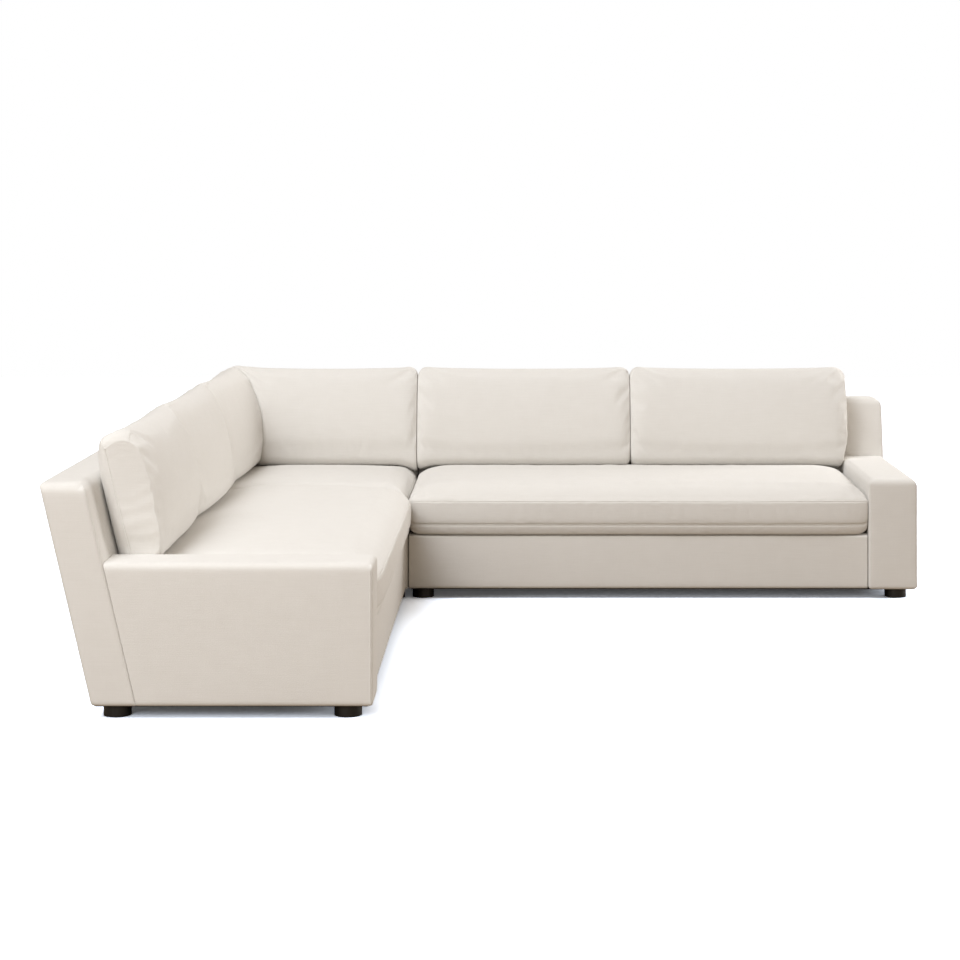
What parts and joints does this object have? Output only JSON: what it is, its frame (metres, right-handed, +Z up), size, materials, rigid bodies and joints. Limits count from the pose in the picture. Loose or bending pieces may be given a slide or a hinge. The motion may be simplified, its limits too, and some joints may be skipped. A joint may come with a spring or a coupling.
{
  "type": "sectional sofa",
  "caption": "L-shaped sectional sofa in three units, with square arms, raked backs, bench seat cushions, loose back cushions and round block feet.",
  "frame": {"origin": "on the floor, at the middle of the square that the L's two equal wings fit in", "axes": "+Z is up. The right sofa runs along +X with its seat facing -Y and its back at +Y; the left sofa runs along -Y with its seat facing +X and its back at -X. The corner is at -X, +Y"},
  "size_m": [3.429, 3.429, 0.9838],
  "materials": {
    "cover_fabric": "flat woven, off-white",
    "foam": "cut foam",
    "webbing": "woven elastic strap",
    "dust_cloth": "thin black cloth",
    "timber": "planed, unfinished",
    "foot_black": "satin black",
    "steel": "zinc plated"
  },
  "bodies": {
    "corner_unit": {"corner_seat_frame": "timber", "corner_back_frame": "timber", "corner_seat_webbing": "webbing", "corner_back_webbing": "webbing", "corner_deck_pad": "cover_fabric", "corner_side_panels": "cover_fabric", "corner_right_back_cover": "cover_fabric", "corner_left_back_cover": "cover_fabric", "corner_dust_cover": "dust_cloth", "corner_feet": "foot_black", "corner_foot_bolts": "steel", "corner_hook_sockets": "steel", "corner_hook_screws": "steel"},
    "right_sofa": {"right_seat_frame": "timber", "right_back_frame": "timber", "right_arm_frame": "timber", "right_seat_webbing": "webbing", "right_back_webbing": "webbing", "right_deck_pad": "cover_fabric", "right_front_panel": "cover_fabric", "right_side_panel": "cover_fabric", "right_arm_cover": "cover_fabric", "right_back_cover": "cover_fabric", "right_dust_cover": "dust_cloth", "right_feet": "foot_black", "right_foot_bolts": "steel", "right_hook_tongues": "steel", "right_hook_screws": "steel"},
    "left_sofa": {"left_seat_frame": "timber", "left_back_frame": "timber", "left_arm_frame": "timber", "left_seat_webbing": "webbing", "left_back_webbing": "webbing", "left_deck_pad": "cover_fabric", "left_front_panel": "cover_fabric", "left_side_panel": "cover_fabric", "left_arm_cover": "cover_fabric", "left_back_cover": "cover_fabric", "left_dust_cover": "dust_cloth", "left_feet": "foot_black", "left_foot_bolts": "steel", "left_hook_tongues": "steel", "left_hook_screws": "steel"},
    "right_seat": {"right_seat_cushion": "cover_fabric", "right_seat_cushion_core": "foam"},
    "left_seat": {"left_seat_cushion": "cover_fabric", "left_seat_cushion_core": "foam"},
    "corner_seat": {"corner_seat_cushion": "cover_fabric", "corner_seat_cushion_core": "foam"},
    "right_inner_back": {"right_inner_back_cushion": "cover_fabric"},
    "right_outer_back": {"right_outer_back_cushion": "cover_fabric"},
    "left_inner_back": {"left_inner_back_cushion": "cover_fabric"},
    "left_outer_back": {"left_outer_back_cushion": "cover_fabric"},
    "corner_right_back": {"corner_right_back_cushion": "cover_fabric"},
    "corner_left_back": {"corner_left_back_cushion": "cover_fabric"}
  },
  "joints": [
    {"name": "right_sofa_lift", "type": "slide", "parent": "corner_unit", "child": "right_sofa", "axis": [0, 0, 1], "range_m": [0, 0.06]},
    {"name": "left_sofa_lift", "type": "slide", "parent": "corner_unit", "child": "left_sofa", "axis": [0, 0, 1], "range_m": [0, 0.06]},
    {"name": "right_seat_lift", "type": "slide", "parent": "right_sofa", "child": "right_seat", "axis": [0, 0, 1], "range_m": [0, 0.5]},
    {"name": "left_seat_lift", "type": "slide", "parent": "left_sofa", "child": "left_seat", "axis": [0, 0, 1], "range_m": [0, 0.5]},
    {"name": "corner_seat_lift", "type": "slide", "parent": "corner_unit", "child": "corner_seat", "axis": [0, 0, 1], "range_m": [0, 0.5]},
    {"name": "right_inner_back_slide", "type": "slide", "parent": "right_seat", "child": "right_inner_back", "axis": [0, 0.2297, 0.9733], "range_m": [0, 0.4]},
    {"name": "right_outer_back_slide", "type": "slide", "parent": "right_seat", "child": "right_outer_back", "axis": [0, 0.2297, 0.9733], "range_m": [0, 0.4]},
    {"name": "left_inner_back_slide", "type": "slide", "parent": "left_seat", "child": "left_inner_back", "axis": [-0.2297, 0, 0.9733], "range_m": [0, 0.4]},
    {"name": "left_outer_back_slide", "type": "slide", "parent": "left_seat", "child": "left_outer_back", "axis": [-0.2297, 0, 0.9733], "range_m": [0, 0.4]},
    {"name": "corner_right_back_slide", "type": "slide", "parent": "corner_seat", "child": "corner_right_back", "axis": [0, 0.2297, 0.9733], "range_m": [0, 0.4]},
    {"name": "corner_left_back_slide", "type": "slide", "parent": "corner_seat", "child": "corner_left_back", "axis": [-0.2297, 0, 0.9733], "range_m": [0, 0.4]}
  ]
}
